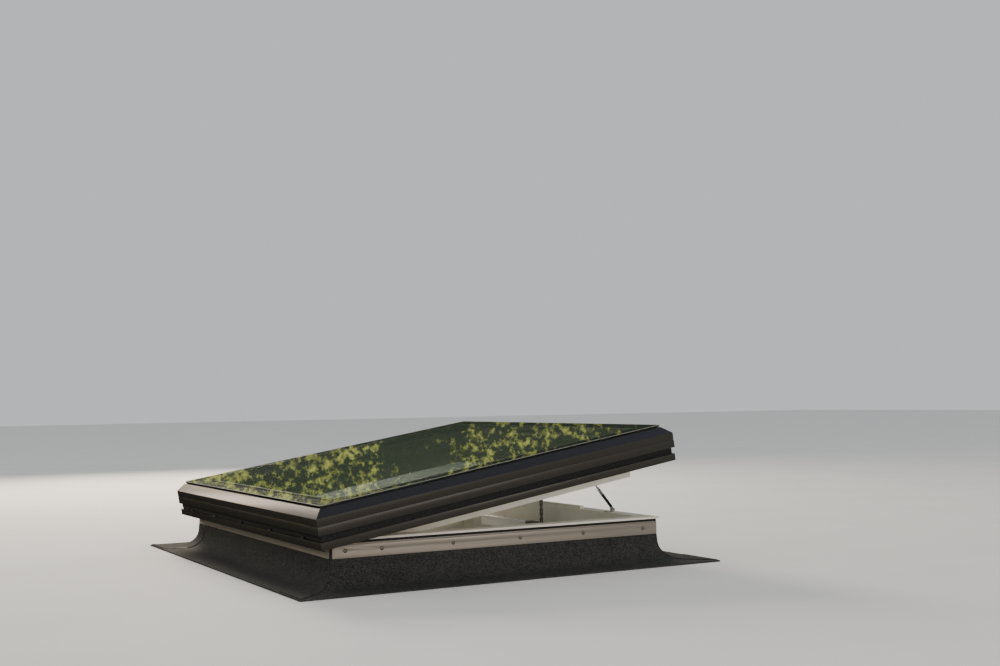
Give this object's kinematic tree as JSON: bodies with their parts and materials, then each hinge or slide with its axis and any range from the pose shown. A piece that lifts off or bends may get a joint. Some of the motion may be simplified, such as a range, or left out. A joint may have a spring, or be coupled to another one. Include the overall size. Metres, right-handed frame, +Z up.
{
  "type": "roof skylight",
  "caption": "Opening flat-roof skylight: glazed sash in a dark mitred aluminium frame, hinged on one side and held open by a chain lift over a felted white kerb.",
  "frame": {"origin": "on the roof surface, under the middle of the felt apron", "axes": "+X from the hinge side to the opening side, +Y from the front to the back, +Z up"},
  "size_m": [1.376, 1.521, 0.4255],
  "materials": {
    "bitumen_felt": "matte",
    "fillet_board": "matte",
    "white_plastic": "satin",
    "mineral_wool": "matte",
    "black_rubber": "matte",
    "strip_aluminium": "satin",
    "dark_aluminium": "matte",
    "cast_aluminium": "matte",
    "spacer_aluminium": "satin",
    "stainless_steel": "satin",
    "galvanized_steel": "satin",
    "clear_glass": "gloss",
    "black_sealant": "satin",
    "white_aluminium": "satin",
    "grey_plastic": "satin",
    "chain_steel": "satin",
    "black_steel": "gloss",
    "chromed_steel": "polished"
  },
  "bodies": {
    "base": {"actuator_bracket_1": "galvanized_steel", "actuator_bracket_2": "galvanized_steel", "actuator_end_cap": "grey_plastic", "actuator_housing": "white_aluminium", "base_frame": "white_plastic", "cant_fillet": "fillet_board", "chain_outlet": "grey_plastic", "clamp_strip_back": "strip_aluminium", "clamp_strip_front": "strip_aluminium", "clamp_strip_hinge_side": "strip_aluminium", "clamp_strip_opening_side": "strip_aluminium", "cover_block": "white_plastic", "felt_flashing": "bitumen_felt", "fixing_flange": "white_plastic", "frame_gasket": "black_rubber", "frame_insulation": "mineral_wool", "hinge_frame_leaf_1": "stainless_steel", "hinge_frame_leaf_2": "stainless_steel", "hinge_frame_leaf_3": "stainless_steel", "hinge_frame_screws": "stainless_steel", "hinge_pin_1": "stainless_steel", "hinge_pin_2": "stainless_steel", "hinge_pin_3": "stainless_steel", "spring_foot_bracket": "galvanized_steel", "spring_foot_stud": "galvanized_steel", "strip_screws": "stainless_steel"},
    "sash": {"bonding_tape": "black_rubber", "chain_bracket": "galvanized_steel", "corner_cleats": "cast_aluminium", "edge_sealant": "black_sealant", "glazing_gasket": "black_rubber", "hinge_sash_leaf_1": "stainless_steel", "hinge_sash_leaf_2": "stainless_steel", "hinge_sash_leaf_3": "stainless_steel", "hinge_sash_screws": "stainless_steel", "inner_pane": "clear_glass", "outer_pane": "clear_glass", "sash_lining": "white_plastic", "sash_profile_back": "dark_aluminium", "sash_profile_front": "dark_aluminium", "sash_profile_hinge_side": "dark_aluminium", "sash_profile_opening_side": "dark_aluminium", "sash_seal": "black_rubber", "spacer_bar": "spacer_aluminium", "spring_sash_bracket": "galvanized_steel"},
    "lift_chain": {"chain_links": "chain_steel", "chain_head": "chain_steel", "chain_pin": "stainless_steel"},
    "spring_cylinder": {"spring_cylinder": "black_steel"},
    "spring_rod": {"spring_rod": "chromed_steel", "spring_rod_end": "galvanized_steel"}
  },
  "joints": [
    {"name": "sash_hinge", "type": "hinge", "parent": "base", "child": "sash", "pos_m": [-0.564, 0, 0.141], "axis": [0, -1, 0], "range_deg": [-9.65, 0]},
    {"name": "chain_slide", "type": "slide", "parent": "base", "child": "lift_chain", "axis": [-0.0418, 0, 0.9991], "range_m": [-0.17334, 0], "deforming": ["chain_links"]},
    {"name": "spring_swing", "type": "hinge", "parent": "base", "child": "spring_cylinder", "pos_m": [0.529, -0.4151, 0.1453], "axis": [0.9956, -0.0024, 0.0936], "range_deg": [-37.56, 0]},
    {"name": "spring_stroke", "type": "slide", "parent": "spring_cylinder", "child": "spring_rod", "axis": [-0.057, 0.7772, 0.6267], "range_m": [-0.06728, 0]}
  ],
  "couplings": [
    {"joint": "chain_slide", "follows": "sash_hinge", "m_per_rad": 1.0286},
    {"joint": "spring_swing", "follows": "sash_hinge", "ratio": 3.8874},
    {"joint": "spring_stroke", "follows": "sash_hinge", "m_per_rad": 0.39887}
  ]
}
